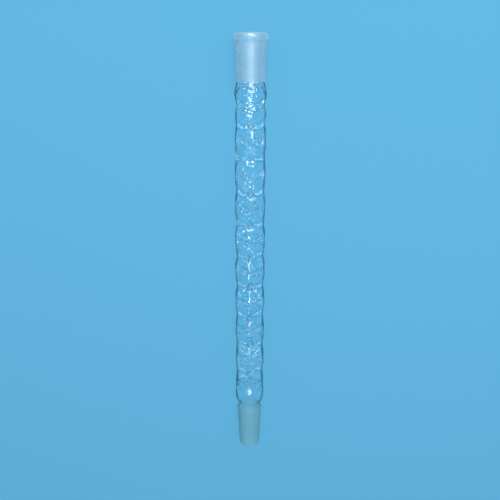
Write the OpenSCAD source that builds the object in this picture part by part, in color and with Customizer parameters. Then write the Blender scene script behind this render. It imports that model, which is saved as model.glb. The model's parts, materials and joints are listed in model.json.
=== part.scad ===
// Vigreux column: a blown glass fractionating column, lying on its side.
// Socket at the +Y end, ground cone at the -Y end, rows of fingers pushed in between.
// The glass is one fused piece, so the model is one solid.
// It is a turned foot with the cone, a stack of tube rings with one row of fingers each, and
// a turned head with the socket. A finger is a pocket cut from the skin, and the space inside
// keeps clear of a thicker copy of the pocket, so that a wall of glass follows every finger.
// Levels are measured along the column from the tip of its cone.

/* [Body tube] */
// Outside diameter of the tube
body_d = 28.2; // [26:0.2:32]
// Thickness of the tube's wall, and of the glass round each finger
wall = 1.5; // [1.1:0.1:1.8]
// Length from the socket to the middle of the first row of fingers
head_room = 16.9; // [16.5:0.1:40]
// Length from the cone to the middle of the last row of fingers
foot_room = 28.3; // [22:0.1:40]
// Depth by which the tube is drawn in at the first row
neck_in = 1.3; // [0:0.1:1.4]
// Length of the plain stretch between the first row and the socket
plain_l = 3.8; // [3:0.1:5]

/* [Fingers] */
// Number of rows of fingers
rows = 19; // [3:1:24]
// Distance between rows
row_pitch = 14.9; // [14:0.1:17]
// Fingers in each row
per_row = 4; // [3:1:4]
// Distance from the column's axis to the tips, over the glass
tip_gap = 1.9; // [1.7:0.1:4]
// Radius of a pocket's rounded tip, outside the glass
tip_r = 1; // [0.6:0.1:1.2]
// Half angle of a finger's taper
finger_draft = 8; // [4:1:10]
// Width of a pocket's mouth
mouth_d = 10.5; // [9:0.1:11]
// Angle at which a pocket's mouth runs out, from square to the finger
mouth_flare = 40; // [38:1:50]
// Radius of the rounded lip inside each mouth
lip_round = 4; // [2.5:0.1:5]
// Angle by which the fingers slope down towards the cone
finger_slope = 14; // [0:1:15]
// Hand-made scatter of the fingers along the column
scatter_along = 0.6; // [0:0.1:1]
// Hand-made scatter of the fingers round the column, in degrees
scatter_turn = 3; // [0:0.5:4]
// Hand-made scatter of the fingers' depth
scatter_depth = 0.3; // [0:0.05:0.3]

/* [Ground joints] */
// Diameter at the wide end of both ground joints
joint_d = 24; // [22:0.5:26]
// Ground length of both joints
joint_l = 40; // [30:1:45]
// Length over which a joint narrows by one millimetre in diameter
joint_taper = 10; // [8:1:12]
// Plain length past the ground surface at each open end
end_l = 1.5; // [1:0.1:3]
// Wall of the cone
cone_wall = 1.7; // [1.4:0.1:2]
// Depth of the waist between the cone and the tube
waist_in = 0.9; // [0.3:0.1:1.2]
// Level of the waist above the cone's ground surface
waist_l = 4; // [3.5:0.5:6]
// Length of the swelling from the waist up to the tube
swell_l = 9.75; // [7:0.25:11]
// Wall of the socket at its narrow end
socket_wall = 2.2; // [1.8:0.1:2.6]
// Wall of the socket under its bead
mouth_wall = 1.6; // [1.4:0.1:2.2]

/* [Socket bead] */
// Outside diameter of the bead round the socket's mouth
bead_d = 31.4; // [30:0.2:36]
// Height of the bead
bead_h = 7.6; // [6:0.2:12]
// Radius of the bead's upper corner
bead_round = 2; // [1:0.1:2.2]
// Rounding of the socket's mouth and of the cone's tip
rim_round = 0.8; // [0.4:0.1:0.8]

/* [Hidden] */
$fn = 96;

body_r = body_d / 2;
joint_r = joint_d / 2;
bead_r = bead_d / 2;
small_r = joint_r - joint_l / (2 * joint_taper); // narrow end of both ground surfaces
waist_r = joint_r - waist_in;
under_r = joint_r + mouth_wall;                  // socket's skin under the bead

// Reach of a row's fingers and their mouths above and below the row's own level
tip_at = tip_gap + wall + tip_r;                 // distance of a tip's centre from the axis
finger_drop = (body_r - tip_at) * tan(finger_slope);
ring_margin = 0.4;                               // tube kept below a row's lowest glass
below_row = max(finger_drop + tip_r + wall, mouth_d / 2) + scatter_along + ring_margin;
above_row = row_pitch - below_row;

// The narrowest stretch of the first row's ring, about the row's own level
neck_bottom = -below_row / 2;
neck_top = above_row / 3;

// Levels along the column
cone_top = end_l + joint_l;
waist = cone_top + waist_l;
tube_bottom = waist + swell_l;
row_last = cone_top + foot_room;
row_first = row_last + (rows - 1) * row_pitch;
socket_bottom = row_first + head_room;
socket_top = socket_bottom + joint_l;
overall_l = socket_top + end_l;
foot_top = row_last - below_row;
head_bottom = row_first + above_row;
bead_bottom = overall_l - bead_h;
bead_edge = bead_bottom + bead_r - under_r;      // foot of the bead's straight side

// On a flat surface the column rests on the foot of its bead and the foot of its tube
lie_angle = atan((bead_r - body_r) / (bead_edge - tube_bottom));
lie_height = body_r * cos(lie_angle) - tube_bottom * sin(lie_angle);

arc_steps = 6;    // straight steps in a rounded corner of a turned profile
ease_steps = 8;   // straight steps in a swelling or a neck
lip_steps = 2;    // straight steps in a pocket's lip
seam_turn = 37;   // turns the seam of each finger away from the sides of its mouth
tip_bite = 0.08;  // how far inside the tip's ball the tapered side starts
past = 4;         // how far a cutting solid runs past what it cuts

// Points of an arc
function arc(centre, r, from, to, steps = arc_steps) = [
    for (i = [0 : steps])
        let (a = from + (to - from) * i / steps)
        centre + r * [cos(a), sin(a)]
];

// Points of a smooth change from one [radius, level] to another, without the first
function ease(from, to) = [
    for (i = [1 : ease_steps])
        let (t = i / ease_steps, s = (1 - cos(180 * t)) / 2)
        [from.x + (to.x - from.x) * s, from.y + (to.y - from.y) * t]
];

// Repeatable scatter from -1 to 1 for a row, a finger and a kind of change
function scatter(row, finger, kind) = sin(97 * row + 151 * finger + 53 * kind);

// Foot: the cone, its waist, the swelling and the plain start of the tube, as a closed outline
function foot_points() = let (
        inner_r = body_r - wall,
        inner_waist = waist_r - wall,
        swelling = ease([inner_waist, waist], [inner_r, tube_bottom])
    ) concat(
        arc([small_r - rim_round, rim_round], rim_round, -90, 0),
        [[small_r, end_l], [joint_r, cone_top], [waist_r, waist]],
        ease([waist_r, waist], [body_r, tube_bottom]),
        [[body_r, foot_top], [inner_r, foot_top]],
        [for (i = [ease_steps - 1 : -1 : 0]) swelling[i]],
        [[inner_waist, waist], [joint_r - cone_wall, cone_top], [small_r - cone_wall, 0]]
    );

// Head: the plain stretch, the shoulder, the socket and its bead, as a closed outline
function head_points() = let (
        inner_r = body_r - wall,
        plain_top = head_bottom + plain_l,
        shoulder = ease([inner_r, plain_top], [small_r, socket_bottom]),
        mouth_r = joint_r + rim_round
    ) concat(
        [[body_r, head_bottom], [body_r, plain_top]],
        ease([body_r, plain_top], [small_r + socket_wall, socket_bottom]),
        [[under_r, bead_bottom], [bead_r, bead_edge]],
        arc([bead_r - bead_round, overall_l - bead_round], bead_round, 0, 90),
        arc([mouth_r, overall_l - rim_round], rim_round, 90, 180),
        [[joint_r, socket_top]],
        [for (i = [ease_steps - 1 : -1 : 0]) shoulder[i]],
        [[inner_r, plain_top], [inner_r, head_bottom]]
    );

// One ring of the tube as a solid of revolution, set in from the skin by inset and longer
// than the ring by over at each end. The first row's ring is drawn in round its fingers.
module ring_solid(row, inset, over) {
    r = body_r - inset;
    neck = row == 0 ? [[r - neck_in, neck_bottom], [r - neck_in, neck_top]] : [];
    rotate_extrude()
        polygon(concat(
            [[0, -below_row - over], [r, -below_row - over], [r, -below_row]],
            neck,
            [[r, above_row], [r, above_row + over], [0, above_row + over]]
        ));
}

// One finger on its own axis, tip down, with its tip's centre at the origin and the skin at
// length. It is turned from a tapered side, a rounded lip and a straight flare through the skin.
module finger(length, grow) {
    side = [cos(finger_draft), -sin(finger_draft)];          // across the tapered side
    foot = (tip_r - tip_bite) / side.x;                      // radius of the side at the origin
    corner_y = (length - (mouth_d / 2 - foot) * tan(mouth_flare))
        / (1 - tan(finger_draft) * tan(mouth_flare));        // where the side meets the flare
    lip_y = corner_y - lip_round * tan((90 - finger_draft - mouth_flare) / 2) * side.x;
    lip_centre = [foot + lip_y * tan(finger_draft), lip_y] + lip_round * side;
    lip = arc(lip_centre, lip_round - grow, 180 - finger_draft, 90 + mouth_flare, lip_steps);
    top = length + past;
    top_r = lip[lip_steps].x + (top - lip[lip_steps].y) / tan(mouth_flare);
    sphere(tip_r + grow);
    rotate([0, 0, seam_turn])
        rotate_extrude()
            polygon(concat([[0, 0], [foot + grow / side.x, 0]], lip, [[top_r, top], [0, top]]));
}

// The fingers of one row, about the row's own level. Each row is turned half a step from
// the one before.
module row_fingers(row, grow) {
    step = 360 / per_row;
    for (i = [0 : per_row - 1]) {
        turn = step * (i + (row % 2 == 0 ? 0.5 : 0)) + scatter_turn * scatter(row, i, 1);
        tip = tip_at + scatter_depth * scatter(row, i, 3);
        reach = body_r - tip;
        rotate([0, 0, turn - 90])
            translate([tip, 0, scatter_along * scatter(row, i, 2) - reach * tan(finger_slope)])
                rotate([0, 90 - finger_slope, 0])
                    finger(reach / cos(finger_slope), grow);
    }
}

module fingered_ring(row) {
    difference() {
        ring_solid(row, 0, 0);
        row_fingers(row, 0);
        difference() {
            ring_solid(row, wall, past);
            row_fingers(row, wall);
        }
    }
}

// The column standing on its cone
module standing_column() {
    rotate_extrude() polygon(foot_points());
    for (row = [0 : rows - 1])
        translate([0, 0, row_first - row * row_pitch])
            fingered_ring(row);
    rotate_extrude() polygon(head_points());
}

module glass_column() {
    color([0.85, 0.93, 0.97, 0.6])
        translate([0, -overall_l / 2, lie_height])
            rotate([lie_angle - 90, 0, 0])
                standing_column();
}

glass_column();
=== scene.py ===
"""A blown glass fractionating column lying on its side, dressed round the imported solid.

The column is one piece of glass with an outer and an inner skin. Its outline is spun round its own
axis, and each finger is then drawn in from the tube's wall, on both skins, ring by ring.
Sizes are in millimetres and meshes in metres.
"""

import json
import logging
import math
from abc import ABC, abstractmethod
from dataclasses import dataclass
from enum import Enum
from typing import Any

import bmesh
import bpy
from mathutils import Matrix, Vector


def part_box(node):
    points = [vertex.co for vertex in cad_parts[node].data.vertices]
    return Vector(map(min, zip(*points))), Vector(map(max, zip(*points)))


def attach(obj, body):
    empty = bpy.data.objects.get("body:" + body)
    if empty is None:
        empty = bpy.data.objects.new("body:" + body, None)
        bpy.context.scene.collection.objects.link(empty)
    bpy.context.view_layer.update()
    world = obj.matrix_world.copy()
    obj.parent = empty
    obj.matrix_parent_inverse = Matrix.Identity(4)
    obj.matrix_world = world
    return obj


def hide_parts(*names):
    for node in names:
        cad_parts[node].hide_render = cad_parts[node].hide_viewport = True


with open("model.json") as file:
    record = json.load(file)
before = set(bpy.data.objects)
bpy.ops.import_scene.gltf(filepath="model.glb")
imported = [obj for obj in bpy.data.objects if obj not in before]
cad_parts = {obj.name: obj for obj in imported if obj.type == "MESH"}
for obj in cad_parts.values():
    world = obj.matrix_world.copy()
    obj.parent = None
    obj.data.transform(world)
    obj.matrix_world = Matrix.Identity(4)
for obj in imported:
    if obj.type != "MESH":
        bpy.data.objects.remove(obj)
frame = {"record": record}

LOG = logging.getLogger("column")
MM = 0.001
GROUND_TAPER = 0.05
BOUNCES = 32
NODE = "glass_column"
BODY = "root"

Pair = tuple[float, float]
Colour = tuple[float, float, float, float]
Vert = bmesh.types.BMVert
Edge = bmesh.types.BMEdge
Face = bmesh.types.BMFace
Shape = bmesh.types.BMesh
Node = bpy.types.Node
Socket = bpy.types.NodeSocket


class Skin(Enum):
    """The two faces of the glass wall."""

    OUTER = 0
    INNER = 1


class Finish(Enum):
    """Material slots of the glass mesh, in order."""

    SKIN = 0
    INSIDE = 1
    SLEEVE = 2
    BEAD = 3
    BORE = 4
    CONE = 5


# --- Helpers ---


def arc(centre: Pair, radius: float, start: float, end: float, steps: int) -> list[Pair]:
    """Points of an arc in the (radius, level) plane.

    Args:
        centre: Centre of the arc.
        radius: Radius of the arc.
        start: First angle in degrees, from square to the axis.
        end: Last angle in degrees.
        steps: Number of straight steps.

    Returns:
        The arc's points, first and last included.
    """
    angles = [math.radians(start + (end - start) * i / steps) for i in range(steps + 1)]
    return [(centre[0] + radius * math.cos(a), centre[1] + radius * math.sin(a)) for a in angles]


def ease(first: Pair, last: Pair, steps: int) -> list[Pair]:
    """Points of a swelling or a neck that starts and ends along the axis.

    Args:
        first: (radius, level) where the change starts.
        last: (radius, level) where it ends.
        steps: Number of straight steps.

    Returns:
        The points between the two, without either of them.
    """
    points = []
    for i in range(1, steps):
        t = i / steps
        share = 0.5 - 0.5 * math.cos(math.pi * t)
        points.append((first[0] + (last[0] - first[0]) * share, first[1] + (last[1] - first[1]) * t))
    return points


def straight(first: Pair, last: Pair, steps: int) -> list[Pair]:
    """Points of a straight taper.

    Args:
        first: (radius, level) where the taper starts.
        last: (radius, level) where it ends.
        steps: Number of equal steps.

    Returns:
        The points from first to last, both included.
    """
    return [
        (first[0] + (last[0] - first[0]) * i / steps, first[1] + (last[1] - first[1]) * i / steps)
        for i in range(steps + 1)
    ]


def smoothstep(value: float) -> float:
    """A smooth rise from 0 to 1, flat at both ends."""
    t = min(max(value, 0.0), 1.0)
    return t * t * (3 - 2 * t)


def to_mesh(name: str, shape: Shape) -> bpy.types.Mesh:
    """Turns a shape into a mesh and frees the shape."""
    mesh = bpy.data.meshes.new(name)
    shape.to_mesh(mesh)
    shape.free()
    return mesh


def put_in(name: str, data: bpy.types.ID) -> bpy.types.Object:
    """Puts a new object with its data into the scene."""
    thing = bpy.data.objects.new(name, data)
    bpy.context.scene.collection.objects.link(thing)
    return thing


# --- Where the column lies ---


@dataclass(frozen=True)
class Axis:
    """The column's own axis in the row frame.

    Attributes:
        tip: Point on the axis at the cone's tip, in metres.
        along: Unit vector from the cone towards the socket.
        up: Unit vector square to the axis, away from the surface.
        across: Unit vector to the side.
    """

    tip: Vector
    along: Vector
    up: Vector
    across: Vector

    @classmethod
    def from_record(cls, record: dict[str, Any]) -> "Axis":
        """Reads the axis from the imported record's mounts and the solid's box.

        Args:
            record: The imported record.

        Returns:
            The axis, with its tip at the cone's open end.
        """
        mounts = {mount["name"]: mount for mount in record["mounts"]}
        socket = Vector(mounts["upper_socket"]["pos_m"])
        along = Vector(mounts["upper_socket"]["axis"]).normalized()
        across = Vector((1.0, 0.0, 0.0))
        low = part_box(NODE)[0]
        foot = (low.y - socket.y) / along.y
        return cls(socket + along * foot, along, across.cross(along), across)

    def outward(self, turn: float) -> Vector:
        """Unit vector away from the axis, turned from up towards across by an angle in degrees."""
        angle = math.radians(turn)
        return self.across * math.sin(angle) + self.up * math.cos(angle)

    def aside(self, turn: float) -> Vector:
        """Unit vector round the column, square to outward(turn)."""
        angle = math.radians(turn)
        return self.across * math.cos(angle) - self.up * math.sin(angle)

    def point(self, radius: float, level: float, turn: float) -> Vector:
        """A point of the column.

        Args:
            radius: Distance from the axis in millimetres.
            level: Distance from the cone's tip along the axis in millimetres.
            turn: Angle from straight up in degrees.

        Returns:
            The point in metres.
        """
        return self.tip + (self.along * level + self.outward(turn) * radius) * MM

    def local(self, point: Vector) -> tuple[float, float, float]:
        """Radius and level in millimetres and turn in degrees of a point in metres."""
        offset = (point - self.tip) / MM
        side, rise = offset.dot(self.across), offset.dot(self.up)
        return math.hypot(side, rise), offset.dot(self.along), math.degrees(math.atan2(side, rise))


# --- The column's parts ---


@dataclass(frozen=True)
class ConeFoot:
    """The ground cone, its waist and the swelling up to the tube.

    Attributes:
        ground_edge: Steps in and up from the cone's wide end, over the edge of the ground zone.
        shelf: How far under that edge the inside starts to follow the cone.
    """

    tube_r: float = 14.1
    wall: float = 1.5
    tip_r: float = 10.0
    wide_r: float = 12.0
    end_l: float = 1.5
    ground_top: float = 41.5
    cone_wall: float = 1.7
    waist_r: float = 11.1
    waist_level: float = 45.5
    top: float = 54.9
    lip: float = 0.8
    ground_edge: tuple[Pair, ...] = ((0.0, -0.8), (0.06, -0.3), (0.26, 0.3))
    shelf: float = 1.0

    def outer(self) -> list[Pair]:
        """Outline of the outside, from the tip upwards."""
        inner_tip = self.tip_r - self.cone_wall
        lip = self.lip
        points = arc((inner_tip + lip, lip), lip, -180, -90, 5)
        points += arc((self.tip_r - lip, lip), lip, -90, 0, 5)
        edge = [(self.wide_r - inwards, self.ground_top + rise) for inwards, rise in self.ground_edge]
        waist = (self.waist_r, self.waist_level)
        points += straight((self.tip_r, self.end_l), edge[0], 12)
        points += edge[1:]
        points += ease(edge[-1], waist, 5)
        points += [waist]
        points += ease(waist, (self.tube_r, self.top), 9)
        return points

    def inner(self) -> list[Pair]:
        """Outline of the inside, from the tube downwards."""
        waist = (self.waist_r - self.wall, self.waist_level)
        shelf = (self.wide_r - self.cone_wall, self.ground_top - self.shelf)
        points = ease((self.tube_r - self.wall, self.top), waist, 9)
        points += [waist]
        points += ease(waist, shelf, 5)
        points += straight(shelf, (self.tip_r - self.cone_wall, self.end_l), 6)
        return points


@dataclass(frozen=True)
class SocketHead:
    """The plain bulb above the first row, its shoulder, the ground socket and the bead.

    Attributes:
        neck: Level where the sleeve round the ground bore starts.
        rounding: Shares of the bulb's swelling and the drops at which it has reached them.
        inner_drop: Share of those drops on the inside.
        inner_rise: How far over the bore's foot the inside starts to swell.
        sleeve_foot: Steps out and up from the neck to the foot of the sleeve.
        bore_foot: Steps out and up from the bore's narrow end to its last ring.
        cove: Steps out and up from under the bead, over the hollow below it.
    """

    tube_r: float = 14.1
    wall: float = 1.5
    bottom: float = 354.9
    neck: float = 357.2
    top: float = 394.9
    overall: float = 396.4
    narrow_r: float = 10.0
    wide_r: float = 12.0
    neck_r: float = 12.2
    under_r: float = 13.6
    bead_r: float = 15.7
    bead_bottom: float = 388.8
    bead_round: float = 2.0
    rim_round: float = 0.8
    rounding: tuple[Pair, ...] = (
        (0.05, 0.0),
        (0.16, 0.9),
        (0.33, 2.0),
        (0.52, 3.2),
        (0.70, 4.6),
        (0.85, 6.2),
        (0.97, 8.0),
        (1.04, 10.0),
    )
    inner_drop: float = 0.8
    inner_rise: float = 0.6
    sleeve_foot: Pair = (0.1, 0.5)
    bore_foot: Pair = (0.08, 1.2)
    cove: tuple[Pair, ...] = (
        (-0.1, -1.2),
        (0.05, -0.2),
        (0.55, 0.65),
        (1.4, 1.55),
        (1.88, 2.2),
        (2.07, 2.9),
    )

    def outer(self) -> list[Pair]:
        """Outline of the outside, from the bulb's top up to the rim."""
        swell = self.tube_r - self.neck_r
        shoulder = [(self.neck_r + swell * share, self.neck - drop) for share, drop in self.rounding[::-1]]
        foot = (self.neck_r + self.sleeve_foot[0], self.neck + self.sleeve_foot[1])
        cove = [(self.under_r + out, self.bead_bottom + rise) for out, rise in self.cove]
        sleeve = straight(foot, cove[0], 10)
        corner = (self.bead_r - self.bead_round, self.overall - self.bead_round)
        bead = arc(corner, self.bead_round, 0, 90, 8)
        corner = (self.wide_r + self.rim_round, self.overall - self.rim_round)
        mouth = arc(corner, self.rim_round, 90, 180, 5)
        return shoulder + sleeve + cove[1:] + bead + mouth

    def inner(self) -> list[Pair]:
        """Outline of the inside, from the ground bore down to the bulb."""
        foot = (self.narrow_r + self.bore_foot[0], self.bottom + self.bore_foot[1])
        swell = self.tube_r - self.wall - self.narrow_r
        start = self.bottom + self.inner_rise
        points = straight((self.wide_r, self.top), foot, 12)
        for share, drop in self.rounding:
            points.append((self.narrow_r + swell * share, start - drop * self.inner_drop))
        return points


@dataclass(frozen=True)
class Finger:
    """One finger.

    Attributes:
        row: Its row, counted from the socket.
        turn: Its angle round the column in degrees.
        level: Level of the middle of its mouth.
        tip_r: Distance of its tip's centre from the column's axis.
        slope: Angle by which it slopes down, in degrees.
        swell: Its width as a share of the usual one.
        column: Grid column of the patch of wall that it is drawn from.
    """

    row: int
    turn: float
    level: float
    tip_r: float
    slope: float
    swell: float
    column: int


@dataclass(frozen=True)
class Mark:
    """What a vertex of a finger's ring belongs to."""

    finger: Finger
    skin: Skin
    angle: float


@dataclass(frozen=True)
class FingeredTube:
    """The tube's wall with its rows of fingers.

    Attributes:
        columns: Grid columns round the tube.
        patch: Grid steps along each side of the patch of wall that a finger is drawn from.
        neck_in: How far the tube is drawn in round the first row.
        neck_reach: How far along the tube that reaches.
        neck_rise: How far over the first row it is deepest.
        plain_levels: Levels of the rings under the last row's patches.
        plain_rises: Rises of the rings over the first row's patches.
        tip_gap: How far the tips of a row stop short of the axis.
        draft: Taper of a finger's side in degrees.
        rim_angle: Angle at which a finger's lip leaves the wall, in degrees.
        slope_from: Depth at which a finger has reached its slope.
        strides: Degrees by which the scatter steps with each row, finger and kind.
        wave: Size of the slow hand-made waves.
        waves: Size, turn along per millimetre, turns round and start in radians of each wave.
        wave_foot: How far under the last row the waves start, and over what length they rise.
        wave_head: How far over the first row they end, and over what length they fall.
        dimple: Depth of the dimple round each finger.
        dimple_r: Its reach.
        mouth_margin: How far within a mouth's edge the wall counts as part of the finger.
        pole_step: Share of a ring's step left between the last ring and the ball's pole.
    """

    outer_r: float = 14.1
    wall: float = 1.5
    rows: int = 19
    per_row: int = 4
    pitch: float = 14.9
    first_level: float = 338.0
    columns: int = 48
    patch: int = 8
    patch_h: float = 13.6
    neck_in: float = 1.3
    neck_reach: float = 7.6
    neck_rise: float = 0.4
    plain_levels: tuple[float, ...] = (56.6, 58.8, 61.0)
    plain_rises: tuple[float, ...] = (0.9, 1.8)
    mouth_r: float = 5.5
    lip_r: float = 3.4
    thin_wall: float = 0.8
    tip_r: float = 1.4
    tip_gap: float = 1.9
    draft: float = 12.0
    rim_angle: float = 22.0
    slope: float = 19.0
    slope_from: float = 4.0
    strides: tuple[int, int, int] = (97, 151, 53)
    scatter_slope: float = 8.0
    scatter_mouth: float = 0.12
    scatter_along: float = 0.9
    scatter_turn: float = 4.5
    scatter_depth: float = 0.3
    wave: float = 0.32
    waves: tuple[tuple[float, float, float, float], ...] = ((1.0, 0.19, 2.0, 0.0), (0.7, 0.47, -3.0, 1.3))
    wave_foot: Pair = (13.0, 8.0)
    wave_head: Pair = (10.0, 6.0)
    dimple: float = 0.85
    dimple_r: float = 6.0
    mouth_margin: float = 0.3
    lip_rings: int = 6
    side_rings: int = 3
    ball_rings: int = 3
    pole_step: float = 0.6

    def scatter(self, row: int, finger: int, kind: int) -> float:
        """The same hand-made scatter as the solid's, from -1 to 1."""
        by_row, by_finger, by_kind = self.strides
        return math.sin(math.radians(by_row * row + by_finger * finger + by_kind * kind))

    def row_level(self, row: int) -> float:
        """Level of a row, counted from the socket."""
        return self.first_level - row * self.pitch

    def nearest_row(self, level: float) -> int:
        """The row nearest to a level. It may be one that isn't there, past either end."""
        return round((self.first_level - level) / self.pitch)

    def middle(self, row: int, finger: int) -> float:
        """Angle of a finger in degrees, without its scatter. Each row is half a step on from the last."""
        return 360 / self.per_row * (finger + (0.5 if row % 2 == 0 else 0.0))

    def away(self, row: int, level: float, turn: float) -> float:
        """Distance over the skin from a place to the nearest finger of a row, in millimetres."""
        step = 360 / self.per_row
        aside = math.radians((turn - self.middle(row, 0) + step / 2) % step - step / 2) * self.outer_r
        return math.hypot(aside, level - self.row_level(row))

    def skin_r(self, level: float, skin: Skin) -> float:
        """Radius of a skin of the tube, drawn in round the first row."""
        near = 1 - smoothstep(abs(level - self.first_level - self.neck_rise) / self.neck_reach)
        inset = self.wall if skin is Skin.INNER else 0.0
        return self.outer_r - self.neck_in * near - inset

    def levels(self) -> list[float]:
        """Levels of the tube's rings from the foot up to the bulb."""
        found = list(self.plain_levels)
        for row in reversed(range(self.rows)):
            low = self.row_level(row) - self.patch_h / 2
            found += [low + self.patch_h * i / self.patch for i in range(self.patch + 1)]
        return found + [self.first_level + self.patch_h / 2 + rise for rise in self.plain_rises]

    def outline(self, skin: Skin) -> list[Pair]:
        """Outline of one skin, upwards for the outer one and downwards for the inner."""
        points = [(self.skin_r(level, skin), level) for level in self.levels()]
        return points if skin is Skin.OUTER else points[::-1]

    def fingers(self) -> list[Finger]:
        """Every finger, in rows from the socket downwards."""
        near = self.tip_gap + self.thin_wall + self.tip_r
        found = []
        for row in range(self.rows):
            for i in range(self.per_row):
                middle = self.middle(row, i)
                found.append(
                    Finger(
                        row=row,
                        turn=middle + self.scatter_turn * self.scatter(row, i, 1),
                        level=self.row_level(row) + self.scatter_along * self.scatter(row, i, 2),
                        tip_r=near + self.scatter_depth * self.scatter(row, i, 3),
                        slope=self.slope + self.scatter_slope * self.scatter(row, i, 4),
                        swell=1 - self.scatter_mouth * (1 + self.scatter(row, i, 5)) / 2,
                        column=round(middle * self.columns / 360),
                    )
                )
        return found

    def rings(self, finger: Finger, skin: Skin) -> list[Pair]:
        """Widths and depths of a finger's rings, from the mouth to the ball at its tip.

        Args:
            finger: The finger.
            skin: The skin that it is drawn from.

        Returns:
            (radius, depth under the outer skin) of each ring.
        """
        rim = math.radians(self.rim_angle)
        found = []
        for i in range(self.lip_rings + 1):
            share = i / self.lip_rings
            angle = math.radians(self.rim_angle + (90 - self.draft - self.rim_angle) * share)
            bend = self.lip_r - self.thickness(skin, share)
            width = self.mouth_r * finger.swell - bend * (math.sin(angle) - math.sin(rim))
            found.append((width, self.lip_r - bend + bend * (math.cos(rim) - math.cos(angle))))
        ball = self.tip_r + self.thickness(skin, 1.0)
        depth = self.skin_r(finger.level, Skin.OUTER) - finger.tip_r
        lean = math.radians(self.draft)
        edge = (ball * math.cos(lean), depth + ball * math.sin(lean))
        throat = found[-1]
        for i in range(1, self.side_rings + 1):
            t = i / self.side_rings
            found.append((throat[0] + (edge[0] - throat[0]) * t, throat[1] + (edge[1] - throat[1]) * t))
        for i in range(1, self.ball_rings + 1):
            angle = lean + (math.pi / 2 - lean) * i / (self.ball_rings + self.pole_step)
            found.append((ball * math.cos(angle), depth + ball * math.sin(angle)))
        return found

    def thickness(self, skin: Skin, share: float) -> float:
        """Glass over a skin at a share of the way from the tube's wall to a finger's throat."""
        return self.wall + (self.thin_wall - self.wall) * share if skin is Skin.INNER else 0.0

    def place(
        self, axis: Axis, finger: Finger, width: float, depth: float, angle: float, fade: float
    ) -> Vector:
        """A point of a finger's ring.

        Args:
            axis: The column's axis.
            finger: The finger.
            width: The ring's radius in millimetres.
            depth: Its depth under the outer skin in millimetres.
            angle: Angle round the ring in radians, from the side towards the socket.
            fade: 1 where the ring follows the tube's skin, 0 where it is flat and square to the finger.

        Returns:
            The point in metres.
        """
        aside, along = width * math.cos(angle), width * math.sin(angle)
        level = finger.level + along
        on_skin = axis.point(
            self.skin_r(level, Skin.OUTER) - depth,
            level,
            finger.turn + math.degrees(aside / self.outer_r),
        )
        mouth_r = self.skin_r(finger.level, Skin.OUTER)
        slope = math.radians(finger.slope)
        lean = slope * (1 - fade)
        drop = depth * math.tan(slope) * smoothstep(depth / self.slope_from)
        radial = mouth_r - depth - along * math.sin(lean)
        flat = axis.point(radial, finger.level - drop + along * math.cos(lean), finger.turn)
        flat += axis.aside(finger.turn) * aside * MM
        return on_skin.lerp(flat, 1 - fade)

    def hand_wave(self, level: float, turn: float) -> float:
        """How far the hand-worked wall stands inside a true tube, in millimetres.

        Args:
            level: Level of the place in millimetres.
            turn: Its angle round the column in degrees.

        Returns:
            A dimple round each finger and a slow, uneven wave, fading out at the tube's ends.
        """
        angle = math.radians(turn)
        crest, slow = 0.0, 0.0
        for size, along, around, start in self.waves:
            crest += size
            slow += size * math.sin(level * along + around * angle + start)
        inset = self.wave * (crest - slow) / 2
        nearest = self.nearest_row(level)
        for row in range(max(nearest - 1, 0), min(nearest + 2, self.rows)):
            inset += self.dimple * math.exp(-((self.away(row, level, turn) / self.dimple_r) ** 2))
        under, rise = self.wave_foot
        over, fall = self.wave_head
        low, high = self.row_level(self.rows - 1), self.first_level
        fade = smoothstep((level - low + under) / rise) * smoothstep((high + over - level) / fall)
        return inset * fade

    def work_by_hand(self, shape: Shape, axis: Axis) -> None:
        """Moves the wall and the fingers of the finished tube in by the hand-made waves."""
        for vert in shape.verts:
            radius, level, turn = axis.local(vert.co)
            if radius > 0.01:
                vert.co -= axis.outward(turn) * (self.hand_wave(level, turn) * radius / self.outer_r * MM)

    def in_mouth(self, level: float, turn: float) -> bool:
        """Whether a place on the tube's skin is within a finger's mouth."""
        return self.away(self.nearest_row(level), level, turn) < self.mouth_r - self.mouth_margin

    def push_in(self, shape: Shape, axis: Axis) -> None:
        """Draws every finger in from both skins of the spun tube, one ring of them all at a time."""
        patches = self.find_patches(shape, axis)
        marks: dict[Vert, Mark] = {}
        border: list[Edge] = []
        for finger in self.fingers():
            for skin in Skin:
                faces = patches[(finger.row, finger.column, skin)]
                edges = self.border_of(faces)
                border += edges
                marks.update(self.mark(axis, finger, skin, edges))
        every = [face for faces in patches.values() for face in faces]
        bmesh.ops.delete(shape, geom=every, context="FACES")
        rings = {(finger, skin): self.rings(finger, skin) for finger in self.fingers() for skin in Skin}
        for number in range(self.lip_rings + 1 + self.side_rings + self.ball_rings):
            made = bmesh.ops.extrude_edge_only(shape, edges=border)["geom"]
            fresh = {item for item in made if isinstance(item, Vert)}
            edges = [item for item in made if isinstance(item, Edge)]
            border = [edge for edge in edges if set(edge.verts) <= fresh]
            marks = {vert: self.mark_before(vert, marks) for vert in fresh}
            for vert, mark in marks.items():
                ring = rings[(mark.finger, mark.skin)]
                width, depth = ring[number]
                throat = ring[self.lip_rings][0]
                in_lip = number < self.lip_rings
                fade = smoothstep((width - throat) / (ring[0][0] - throat)) if in_lip else 0.0
                vert.co = self.place(axis, mark.finger, width, depth, mark.angle, fade)
        caps = bmesh.ops.holes_fill(shape, edges=border, sides=0)["faces"]
        for pole in bmesh.ops.poke(shape, faces=caps)["verts"]:
            mark = self.mark_before(pole, marks)
            ball = self.tip_r + self.thickness(mark.skin, 1.0)
            end = self.skin_r(mark.finger.level, Skin.OUTER) - mark.finger.tip_r + ball
            pole.co = self.place(axis, mark.finger, 0.0, end, 0.0, 0.0)

    def mark_before(self, vert: Vert, marks: dict[Vert, Mark]) -> Mark:
        """The mark of the vertex that a new vertex was drawn from."""
        return next(marks[other] for other in (e.other_vert(vert) for e in vert.link_edges) if other in marks)

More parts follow.
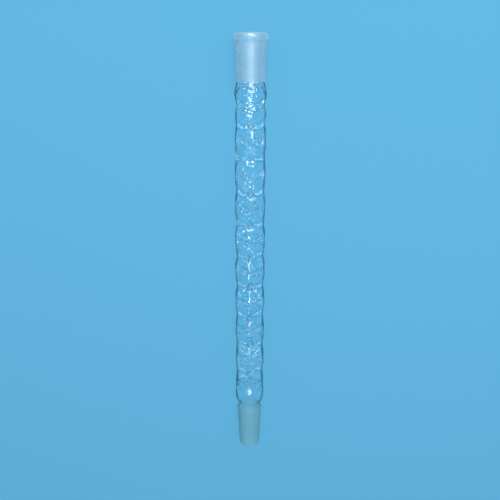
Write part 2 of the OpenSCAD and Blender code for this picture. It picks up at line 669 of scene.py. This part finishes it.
    def border_of(self, faces: list[Face]) -> list[Edge]:
        """The edges round a patch of faces."""
        inside = set(faces)
        edges = dict.fromkeys(edge for face in faces for edge in face.edges)
        return [edge for edge in edges if sum(face in inside for face in edge.link_faces) == 1]

    def mark(self, axis: Axis, finger: Finger, skin: Skin, border: list[Edge]) -> dict[Vert, Mark]:
        """Marks the vertices round a patch with their finger, skin and angle round the mouth.

        Args:
            axis: The column's axis.
            finger: The finger.
            skin: The skin that it is drawn from.
            border: The edges round the patch.

        Returns:
            The marks, with the angles evenly spaced.
        """
        centre, level = finger.column * 360 / self.columns, self.row_level(finger.row)

        def order(vert: Vert) -> float:
            """Angle of a vertex round the patch, in grid steps."""
            _, at, turn = axis.local(vert.co)
            across = ((turn - centre + 180) % 360 - 180) / (360 / self.columns)
            angle = math.atan2((at - level) / (self.patch_h / self.patch), across)
            return angle if angle > -0.01 else angle + 2 * math.pi

        corners = dict.fromkeys(vert for edge in border for vert in edge.verts)
        ranked = sorted(corners, key=order)
        step = 2 * math.pi / len(ranked)
        return {vert: Mark(finger, skin, i * step) for i, vert in enumerate(ranked)}

    def find_patches(self, shape: Shape, axis: Axis) -> dict[tuple[int, int, Skin], list[Face]]:
        """Finds the faces of the wall that each finger is drawn from.

        Args:
            shape: The spun tube.
            axis: The column's axis.

        Returns:
            The faces by row, grid column and skin.
        """
        half_w, half_h = 180 * self.patch / self.columns, self.patch_h / 2
        middle = self.outer_r - self.wall / 2
        found: dict[tuple[int, int, Skin], list[Face]] = {}
        for face in shape.faces:
            radius, level, turn = axis.local(face.calc_center_median())
            row = self.nearest_row(level)
            if not 0 <= row < self.rows or abs(level - self.row_level(row)) > half_h:
                continue
            neck = self.outer_r - self.skin_r(level, Skin.OUTER)
            skin = Skin.OUTER if radius > middle - neck else Skin.INNER
            for i in range(self.per_row):
                centre = self.middle(row, i)
                if abs((turn - centre + 180) % 360 - 180) < half_w:
                    key = (row, round(centre * self.columns / 360), skin)
                    found.setdefault(key, []).append(face)
        return found


@dataclass(frozen=True)
class Zones:
    """Where one finish of the glass gives way to the next, in millimetres.

    Attributes:
        near: How far off a skin a place still counts as part of it.
        sleeve: How far under the head's neck the sleeve starts.
        cone_end: How far under the foot of the cone's taper its ground zone starts.
        cone_skin: How far inside the cone's skin it still counts as ground.
        waist_skin: How far inside the waist's skin a place still counts as outside.
        clear: How far under the foot's top the fire-polished skin starts.
        tube_foot: How far under the foot's top the tube starts.
        tube_head: How far under the head's neck the tube ends.
    """

    near: float = 0.3
    sleeve: float = 0.2
    cone_end: float = 1.0
    cone_skin: float = 0.8
    waist_skin: float = 0.6
    clear: float = 4.0
    tube_foot: float = 1.0
    tube_head: float = 9.0


@dataclass
class Column:
    """The whole piece of glass."""

    axis: Axis
    foot: ConeFoot = ConeFoot()
    tube: FingeredTube = FingeredTube()
    head: SocketHead = SocketHead()
    zones: Zones = Zones()

    def outline(self) -> list[Pair]:
        """The closed outline of the wall, up the outside and down the inside."""
        return (
            self.foot.outer()
            + self.tube.outline(Skin.OUTER)
            + self.head.outer()
            + self.head.inner()
            + self.tube.outline(Skin.INNER)
            + self.foot.inner()
        )

    def build(self) -> bpy.types.Object:
        """Spins the outline, draws the fingers in and returns the finished piece."""
        shape = bmesh.new()
        verts = [shape.verts.new(self.axis.point(r, level, 0.0)) for r, level in self.outline()]
        edges = [shape.edges.new((a, b)) for a, b in zip(verts, verts[1:] + verts[:1])]
        bmesh.ops.spin(
            shape,
            geom=verts + edges,
            cent=self.axis.tip,
            axis=-self.axis.along,
            angle=2 * math.pi,
            steps=self.tube.columns,
            use_merge=True,
        )
        bmesh.ops.remove_doubles(shape, verts=shape.verts, dist=1e-6)
        self.tube.push_in(shape, self.axis)
        self.tube.work_by_hand(shape, self.axis)
        bmesh.ops.recalc_face_normals(shape, faces=shape.faces)
        self.mark_finishes(shape)
        return put_in("column_glass", to_mesh("column_glass", shape))

    def mark_finishes(self, shape: Shape) -> None:
        """Smooths every face of the glass and gives it the material slot of its finish."""
        for face in shape.faces:
            face.smooth = True
            radius, level, turn = self.axis.local(face.calc_center_median())
            face.material_index = self.finish_at(radius, level, turn).value

    def finish_at(self, radius: float, level: float, turn: float) -> Finish:
        """The finish of a place on the glass.

        Args:
            radius: Its distance from the axis in millimetres.
            level: Its level in millimetres.
            turn: Its angle round the column in degrees.

        Returns:
            The finish.
        """
        head, foot, tube, zones = self.head, self.foot, self.tube, self.zones
        if level > head.neck - zones.sleeve:
            bore_r = head.narrow_r + (level - head.bottom) * GROUND_TAPER
            if radius < bore_r + zones.near and level < head.top + zones.near:
                return Finish.BORE
            return Finish.BEAD if level > head.bead_bottom else Finish.SLEEVE
        if level < foot.waist_level - zones.near:
            cone_r = foot.tip_r + (level - foot.end_l) * GROUND_TAPER
            outside = radius > cone_r - zones.cone_skin
            return Finish.CONE if outside and level > foot.end_l - zones.cone_end else Finish.INSIDE
        if not foot.top - zones.tube_foot < level < head.neck - zones.tube_head:
            outside = radius > foot.waist_r - zones.waist_skin and level > foot.top - zones.clear
            return Finish.SKIN if outside else Finish.INSIDE
        inside = radius < tube.skin_r(level, Skin.INNER) + zones.near
        return Finish.INSIDE if inside or tube.in_mouth(level, turn) else Finish.SKIN

    def dress(self, piece: bpy.types.Object, finishes: list[bpy.types.Material]) -> None:
        """Gives the piece its finishes and ties it to the solid that it stands for."""
        for finish in finishes:
            piece.data.materials.append(finish)
        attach(piece, BODY)
        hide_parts(NODE)


# --- Shader graphs ---


@dataclass(frozen=True)
class Value:
    """A number in a shader graph that can be reckoned with like one in Python."""

    graph: "Graph"
    socket: Socket

    def _math(self, operation: str, first: Any, second: Any) -> "Value":
        """Adds one Math node for an operation on two numbers or values."""
        return self.graph.value("ShaderNodeMath", {0: first, 1: second}, operation=operation)

    def __add__(self, other: Any) -> "Value":
        """Sum."""
        return self._math("ADD", self, other)

    def __sub__(self, other: Any) -> "Value":
        """Difference."""
        return self._math("SUBTRACT", self, other)

    def __rsub__(self, other: Any) -> "Value":
        """Reflected difference."""
        return self._math("SUBTRACT", other, self)

    def __mul__(self, other: Any) -> "Value":
        """Product."""
        return self._math("MULTIPLY", self, other)


@dataclass(frozen=True)
class Graph:
    """A node tree and the one way in which nodes are added to it."""

    tree: bpy.types.NodeTree

    @classmethod
    def of_material(cls, name: str) -> tuple[bpy.types.Material, "Graph"]:
        """A new material with an empty graph."""
        material = bpy.data.materials.new(name)
        material.use_nodes = True
        material.node_tree.nodes.clear()
        return material, cls(material.node_tree)

    def add(self, kind: str, sockets: dict[Any, Any] | None = None, **settings: Any) -> Node:
        """Adds a node.

        Args:
            kind: The node's type.
            sockets: Numbers, colours, values or output sockets for its inputs.
            settings: Its own settings, set before its sockets. A ramp's stops are under "stops".

        Returns:
            The node.
        """
        node = self.tree.nodes.new(kind)
        for name, setting in settings.items():
            if name == "stops":
                ramp = node.color_ramp.elements
                while len(ramp) < len(setting):
                    ramp.new(0.5)
                for element, (at, colour) in zip(ramp, setting):
                    element.position, element.color = at, colour
            else:
                setattr(node, name, setting)
        for name, given in (sockets or {}).items():
            if isinstance(given, Value):
                given = given.socket
            if isinstance(given, Socket):
                self.tree.links.new(given, node.inputs[name])
            else:
                node.inputs[name].default_value = given
        return node

    def value(
        self, kind: str, sockets: dict[Any, Any] | None = None, output: Any = 0, **settings: Any
    ) -> Value:
        """Adds a node and returns one of its outputs as a value."""
        return Value(self, self.add(kind, sockets, **settings).outputs[output])

    def mix(self, share: Value, first: Node, second: Node) -> Node:
        """Adds a mix of two shaders, with a share of the second."""
        return self.add("ShaderNodeMixShader", {0: share, 1: first.outputs[0], 2: second.outputs[0]})

    def any_ray(self, *kinds: str) -> Value:
        """1 for rays of the kinds named, 0 for all others."""
        path = self.add("ShaderNodeLightPath")
        found = Value(self, path.outputs[f"Is {kinds[0]} Ray"])
        for kind in kinds[1:]:
            found = found + Value(self, path.outputs[f"Is {kind} Ray"])
        return self.spread(found, 0.0, 1.0, 0.0, 1.0)

    def place(self) -> Socket:
        """Object coordinates, which are the row frame's metres."""
        return self.add("ShaderNodeTexCoord").outputs["Object"]

    def noise(self, place: Socket, scale: float, detail: float = 2.0) -> Value:
        """Noise of a number of waves per metre."""
        return self.value("ShaderNodeTexNoise", {"Vector": place, "Scale": scale, "Detail": detail}, "Fac")

    def bump(self, height: Value, distance: float, strength: float = 1.0) -> Socket:
        """Normal of a surface with a relief up to a distance in metres."""
        relief = {"Strength": strength, "Distance": distance, "Height": height}
        return self.add("ShaderNodeBump", relief).outputs[0]

    def facing(self) -> Value:
        """How far from square a surface is seen, from 0 to 1."""
        return self.value("ShaderNodeLayerWeight", {"Blend": 0.5}, "Facing")

    def spread(self, value: Value, low: float, high: float, to_low: float, to_high: float) -> Value:
        """Maps a range of a value onto another, held at its ends."""
        return self.value(
            "ShaderNodeMapRange",
            {"Value": value, "From Min": low, "From Max": high, "To Min": to_low, "To Max": to_high},
            "Result",
            clamp=True,
        )


# --- Finishes ---


@dataclass(frozen=True)
class Glass(ABC):
    """Borosilicate glass.

    Attributes:
        name: The material's name.
        tint: Colour of what is seen through it.
        shade: How much of the studio's light goes through.
        ior: Index of refraction.
    """

    name: str
    tint: Colour
    shade: Colour
    ior: float = 1.474

    def body(self, graph: Graph, tint: Colour, rough: Any, normal: Socket) -> Node:
        """One glass shader."""
        return graph.add(
            "ShaderNodeBsdfPrincipled",
            {
                "Base Color": tint,
                "Roughness": rough,
                "IOR": self.ior,
                "Transmission Weight": 1.0,
                "Normal": normal,
            },
        )

    def through(self, graph: Graph, surface: Node) -> None:
        """Ends the graph with a surface that only dims the studio's light instead of stopping it."""
        open_way = graph.add("ShaderNodeBsdfTransparent", {"Color": self.shade})
        both = graph.mix(graph.any_ray("Shadow", "Diffuse"), surface, open_way)
        graph.add("ShaderNodeOutputMaterial", {"Surface": both.outputs[0]})

    @abstractmethod
    def material(self) -> bpy.types.Material:
        """The finished material."""


@dataclass(frozen=True)
class ClearGlass(Glass):
    """Fire-polished glass with the faint waves of lamp work, and painted shade: a dark line where a wall is
    seen edge on.

    Attributes:
        painted_edge_shade: Colour of the painted shade where a wall is seen edge on.
        edge: Share of that colour there.
        edge_from: How far from square a wall is seen where the painted shade starts, from 0 to 1.
        edge_reach: How much further it is full.
        edge_least: Share of the painted shade left where the noise breaks its line.
        breaks: Scale of the noise that breaks it.
        broken: Range of that noise from broken to whole.
        wave_height: Height of the waves in metres.
        wave_scale: Scale of the waves.
        ripple: Height of the ripples as a share of it.
        ripple_scale: Scale of the ripples.
        haze: Greatest roughness.
        haze_scale: Scale of the patches that have it.
        hazy: Range of that noise from none to all of it.
    """

    tint: Colour = (0.95, 0.985, 1.0, 1.0)
    shade: Colour = (0.97, 0.985, 0.99, 1.0)
    # painted shade: near-black glass colour for the dark line along edge-on walls
    painted_edge_shade: Colour = (0.004, 0.02, 0.04, 1.0)
    edge: float = 0.95
    edge_from: float = 0.52
    edge_reach: float = 0.09
    edge_least: float = 0.5
    breaks: float = 160.0
    broken: Pair = (0.36, 0.48)
    wave_height: float = 0.0004
    wave_scale: float = 80.0
    ripple: float = 0.28
    ripple_scale: float = 260.0
    haze: float = 0.012
    haze_scale: float = 240.0
    hazy: Pair = (0.45, 0.8)

    def waves(self, graph: Graph, place: Socket) -> Socket:
        """Normal of a surface with the slow waves and small ripples of hand work."""
        slow = graph.noise(place, self.wave_scale, 1.0)
        ripple = graph.noise(place, self.ripple_scale, 1.0)
        return graph.bump(slow + ripple * self.ripple, self.wave_height)

    def painted_edge_share(self, graph: Graph, place: Socket) -> Value:
        """Share of the painted shade: a broken dark line where the outside of a wall is seen edge on."""
        within = graph.value("ShaderNodeNewGeometry", output="Backfacing")
        broken = graph.spread(graph.noise(place, self.breaks, 2.0), *self.broken, self.edge_least, 1.0)
        full = self.edge_from + self.edge_reach
        share = graph.spread(graph.facing(), self.edge_from, full, 0.0, self.edge)
        return share * (1.0 - within) * broken

    def material(self) -> bpy.types.Material:
        """The finished material, with painted shade: a near-black glass mixed in where a wall is seen edge
        on.
        """
        material, graph = Graph.of_material(self.name)
        place = graph.place()
        normal = self.waves(graph, place)
        rough = graph.spread(graph.noise(place, self.haze_scale, 3.0), *self.hazy, 0.0, self.haze)
        clear = self.body(graph, self.tint, rough, normal)
        # painted shade: the near-black glass that draws the dark edge line
        painted_dark = self.body(graph, self.painted_edge_shade, rough, normal)
        self.through(graph, graph.mix(self.painted_edge_share(graph, place), clear, painted_dark))
        return material


@dataclass(frozen=True)
class GroundGlass(Glass):
    """Glass ground matt with fine grit, for the faces that seal, and what is seen over them, with the
    backdrop's light painted into its milk.

    Attributes:
        milk_and_painted_backdrop: Colour of the milky share: the frost's own pale colour, with the backdrop's
            blue painted in.
        milk_rough: Roughness of it.
        milkiness: That share where the glass is seen square on.
        painted_edge_light: How much more of it there is edge on, a painted light rim.
        edge_range: How far from square that starts and is full, from 0 to 1.
        rough: Roughness of the glass.
        uneven: How far the clouds change the roughness and the milky share, each way.
        coat: Weight of the gloss over it.
        coat_rough: Roughness of that gloss.
        grit: Height of the grit in metres.
        grit_strength: Strength of its relief.
        grit_scale: Scale of the grit.
        ring_scale: Scale of the grinder's rings round the column.
        ring_stretch: How much closer they lie along it.
        ring_height: Their height as a share of the grit's.
        ring_milk: How much they show in the milky share.
        cloud_scale: Scale of the clouds.
        clouds: Range of their noise from one end to the other.
    """

    tint: Colour = (0.87, 0.94, 0.97, 1.0)
    shade: Colour = (0.9, 0.93, 0.95, 1.0)
    milk_and_painted_backdrop: Colour = (0.8, 0.88, 0.92, 1.0)
    milk_rough: float = 0.7
    milkiness: float = 0.2
    painted_edge_light: float = 0.4
    edge_range: Pair = (0.2, 0.75)
    rough: float = 0.4
    uneven: float = 0.05
    coat: float = 0.0
    coat_rough: float = 0.03
    grit: float = 0.00004
    grit_strength: float = 0.5
    grit_scale: float = 2600.0
    ring_scale: float = 320.0
    ring_stretch: float = 9.0
    ring_height: float = 0.6
    ring_milk: float = 0.3
    cloud_scale: float = 60.0
    clouds: Pair = (0.3, 0.7)

    def material(self) -> bpy.types.Material:
        """The finished material: grit, the grinder's rings, faint clouds and a painted light rim where it is
        seen edge on.
        """
        material, graph = Graph.of_material(self.name)
        place = graph.place()
        stretch = (1.0, self.ring_stretch, 1.0)
        ringed = graph.add("ShaderNodeMapping", {"Vector": place, "Scale": stretch}, vector_type="POINT")
        rings = graph.noise(ringed.outputs[0], self.ring_scale, 3.0)
        cloud = graph.noise(place, self.cloud_scale, 2.0)
        height = graph.noise(place, self.grit_scale, 4.0) + rings * self.ring_height
        normal = graph.bump(height, self.grit, self.grit_strength)
        rough = graph.spread(cloud, *self.clouds, self.rough - self.uneven, self.rough + self.uneven)
        glass = self.body(graph, self.tint, rough, normal)
        milk_and_painted_backdrop = graph.add(
            "ShaderNodeBsdfPrincipled",
            {"Base Color": self.milk_and_painted_backdrop, "Roughness": self.milk_rough, "Normal": normal},
        )
        for shader in (glass, milk_and_painted_backdrop):
            shader.inputs["Coat Weight"].default_value = self.coat
            shader.inputs["Coat Roughness"].default_value = self.coat_rough
        low, high = self.milkiness - self.uneven, self.milkiness + self.uneven
        share = graph.spread(cloud + (rings - 0.5) * self.ring_milk, *self.clouds, low, high)
        # painted light: more milk where the glass is seen edge on, for a lighter rim
        share = share + graph.spread(graph.facing(), *self.edge_range, 0.0, self.painted_edge_light)
        self.through(graph, graph.mix(share, glass, milk_and_painted_backdrop))
        return material


FINISHES: dict[Finish, Glass] = {
    Finish.SKIN: ClearGlass(name="clear_glass_fire_polished"),
    # painted shade: a fainter dark line where the inside's walls are seen edge on
    Finish.INSIDE: ClearGlass(name="clear_glass_inside", edge=0.42, edge_from=0.64),
    Finish.SLEEVE: GroundGlass(
        name="clear_glass_over_ground",
        # painted light: the backdrop's blue painted into the milk
        milk_and_painted_backdrop=(0.44, 0.72, 0.88, 1.0),
        milkiness=0.12,
        painted_edge_light=0.6,
        rough=0.25,
        coat=0.1,
        coat_rough=0.35,
    ),
    Finish.BEAD: GroundGlass(
        name="clear_glass_bead",
        # painted light: the backdrop's blue painted into the milk
        milk_and_painted_backdrop=(0.5, 0.76, 0.9, 1.0),
        milkiness=0.16,
        painted_edge_light=0.62,
        rough=0.25,
        coat=1.0,
    ),
    # painted light: the backdrop's blue painted into the bore's milk
    Finish.BORE: GroundGlass(name="ground_glass_bore", milk_and_painted_backdrop=(0.32, 0.58, 0.77, 1.0), milkiness=0.36),
    Finish.CONE: GroundGlass(
        name="ground_glass_cone",
        # painted shade: the teal tint and dark teal milk make the cone darker than the backdrop, with its
        # blue painted in
        tint=(0.6, 0.84, 0.88, 1.0),
        milk_and_painted_backdrop=(0.17, 0.44, 0.53, 1.0),
        milkiness=0.5,
    ),
}


# --- Studio ---


@dataclass(frozen=True)
class Lamp:
    """A rectangular soft box: place and size in metres, power in watts."""

    name: str
    place: tuple[float, float, float]
    width: float
    height: float
    power: float

    def build(self, aim: Vector) -> None:
        """Hangs the lamp and turns it to a point."""
        data = bpy.data.lights.new(self.name, "AREA")
        data.shape = "RECTANGLE"
        data.size, data.size_y = self.width, self.height
        data.energy = self.power
        lamp = put_in(self.name, data)
        lamp.location = self.place
        lamp.rotation_euler = (aim - Vector(self.place)).to_track_quat("-Z", "Y").to_euler()


LAMPS = (
    Lamp("soft_box_key", (0.35, 1.15, 2.0), 1.7, 0.5, 22.0),
    Lamp("soft_box_front", (0.1, 0.46, 2.1), 1.6, 0.26, 16.5),
    Lamp("soft_box_low", (-0.25, -0.75, 2.0), 0.3, 0.25, 3.6),
    Lamp("soft_box_left", (-1.5, 0.9, 1.5), 0.2, 0.35, 3.2),
    Lamp("soft_box_right", (1.5, 0.7, 1.5), 0.2, 0.35, 3.2),
)


@dataclass
class Studio:
    """A plain pale floor, soft lamps and the camera.

    Attributes:
        axis: The column's axis.
        floor_colour: The floor's colour.
        floor_r: Its radius in metres.
        floor_gap: How far it lies under the column, in metres.
        fill: Colour of the light from all round.
        backdrop: Heights and colours of what glass and gloss show instead.
        lit_level: Level on the column that the lamps are turned to, in millimetres.
        eye_level: Level of the camera along the column, in millimetres.
        eye_distance: Its distance from the axis, in millimetres.
        pitch: How far it looks down towards the cone, in degrees.
        roll: Its turn round its own line of sight, in degrees.
        lens: Its focal length in millimetres.
    """

    axis: Axis
    floor_colour: Colour = (0.115, 0.44, 0.71, 1.0)
    floor_r: float = 2.0
    floor_gap: float = 0.00005
    fill: Colour = (0.25, 0.25, 0.25, 1.0)
    backdrop: tuple[tuple[float, Colour], ...] = (
        (0.0, (0.072, 0.3, 0.5, 1.0)),
        (0.25, (0.11, 0.42, 0.68, 1.0)),
        (1.0, (0.2, 0.52, 0.76, 1.0)),
    )
    lit_level: float = 200.0
    eye_level: float = 350.6
    eye_distance: float = 488.8
    pitch: float = 16.35
    roll: float = 0.19
    lens: float = 39.17

    def floor(self) -> None:
        """Lays a round floor just under the column."""
        shape = bmesh.new()
        bmesh.ops.create_circle(shape, cap_ends=True, segments=96, radius=self.floor_r)
        bmesh.ops.translate(shape, verts=shape.verts, vec=(0.0, 0.0, -self.floor_gap))
        mesh = to_mesh("floor", shape)
        material, graph = Graph.of_material("floor_paper")
        body = graph.add(
            "ShaderNodeBsdfPrincipled",
            {"Base Color": self.floor_colour, "Roughness": 0.9, "Specular IOR Level": 0.1},
        )
        graph.add("ShaderNodeOutputMaterial", {"Surface": body.outputs[0]})
        mesh.materials.append(material)
        floor = put_in("floor", mesh)

    def sky(self) -> None:
        """Even fill light. Glass and gloss show a backdrop of the floor's colour, darker at its foot."""
        world = bpy.data.worlds.new("studio")
        world.use_nodes = True
        world.node_tree.nodes.clear()
        graph = Graph(world.node_tree)
        way = graph.add("ShaderNodeTexCoord").outputs["Generated"]
        rise = graph.add("ShaderNodeSeparateXYZ", {0: way}).outputs["Z"]
        ramp = graph.add("ShaderNodeValToRGB", {0: rise}, stops=self.backdrop)
        light = graph.add("ShaderNodeBackground", {"Color": self.fill, "Strength": 1.0})
        seen = graph.add("ShaderNodeBackground", {"Color": ramp.outputs[0], "Strength": 1.0})
        both = graph.mix(graph.any_ray("Camera", "Glossy", "Transmission"), light, seen)
        graph.add("ShaderNodeOutputWorld", {"Surface": both.outputs[0]})
        bpy.context.scene.world = world

    def lamps(self) -> None:
        """Hangs the soft boxes, all turned to the middle of the column."""
        for lamp in LAMPS:
            lamp.build(self.axis.point(0.0, self.lit_level, 0.0))

    def camera(self) -> None:
        """Sets the camera over the column, so that it looks upright."""
        pitch = math.radians(self.pitch)
        axis = self.axis
        ahead = -axis.up * math.cos(pitch) - axis.along * math.sin(pitch)
        above = axis.along * math.cos(pitch) - axis.up * math.sin(pitch)
        right = ahead.cross(above)
        turn = Matrix((right, above, -ahead)).transposed()
        turn = turn @ Matrix.Rotation(math.radians(self.roll), 3, "Z")
        data = bpy.data.cameras.new("camera")
        data.sensor_width = 36.0
        data.lens = self.lens
        data.clip_start, data.clip_end = 0.01, 100.0
        camera = put_in("camera", data)
        camera.location = axis.point(self.eye_distance, self.eye_level, 0.0)
        camera.rotation_euler = turn.to_euler()
        bpy.context.scene.camera = camera

    def build(self) -> None:
        """Sets up the whole studio."""
        self.camera()
        self.floor()
        self.sky()
        self.lamps()
        scene = bpy.context.scene
        scene.view_settings.view_transform = "Standard"
        scene.cycles.max_bounces = BOUNCES
        scene.cycles.glossy_bounces = BOUNCES
        scene.cycles.transmission_bounces = BOUNCES
        scene.cycles.transparent_max_bounces = BOUNCES


def main() -> None:
    """Builds the column and the studio round it."""
    logging.basicConfig(level=logging.INFO, format="%(name)s: %(message)s")
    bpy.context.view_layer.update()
    axis = Axis.from_record(frame["record"])
    Studio(axis).build()
    column = Column(axis)
    piece = column.build()
    column.dress(piece, [FINISHES[finish].material() for finish in Finish])
    LOG.info("%s: %d faces", piece.name, len(piece.data.polygons))


if __name__ == "__main__":
    main()
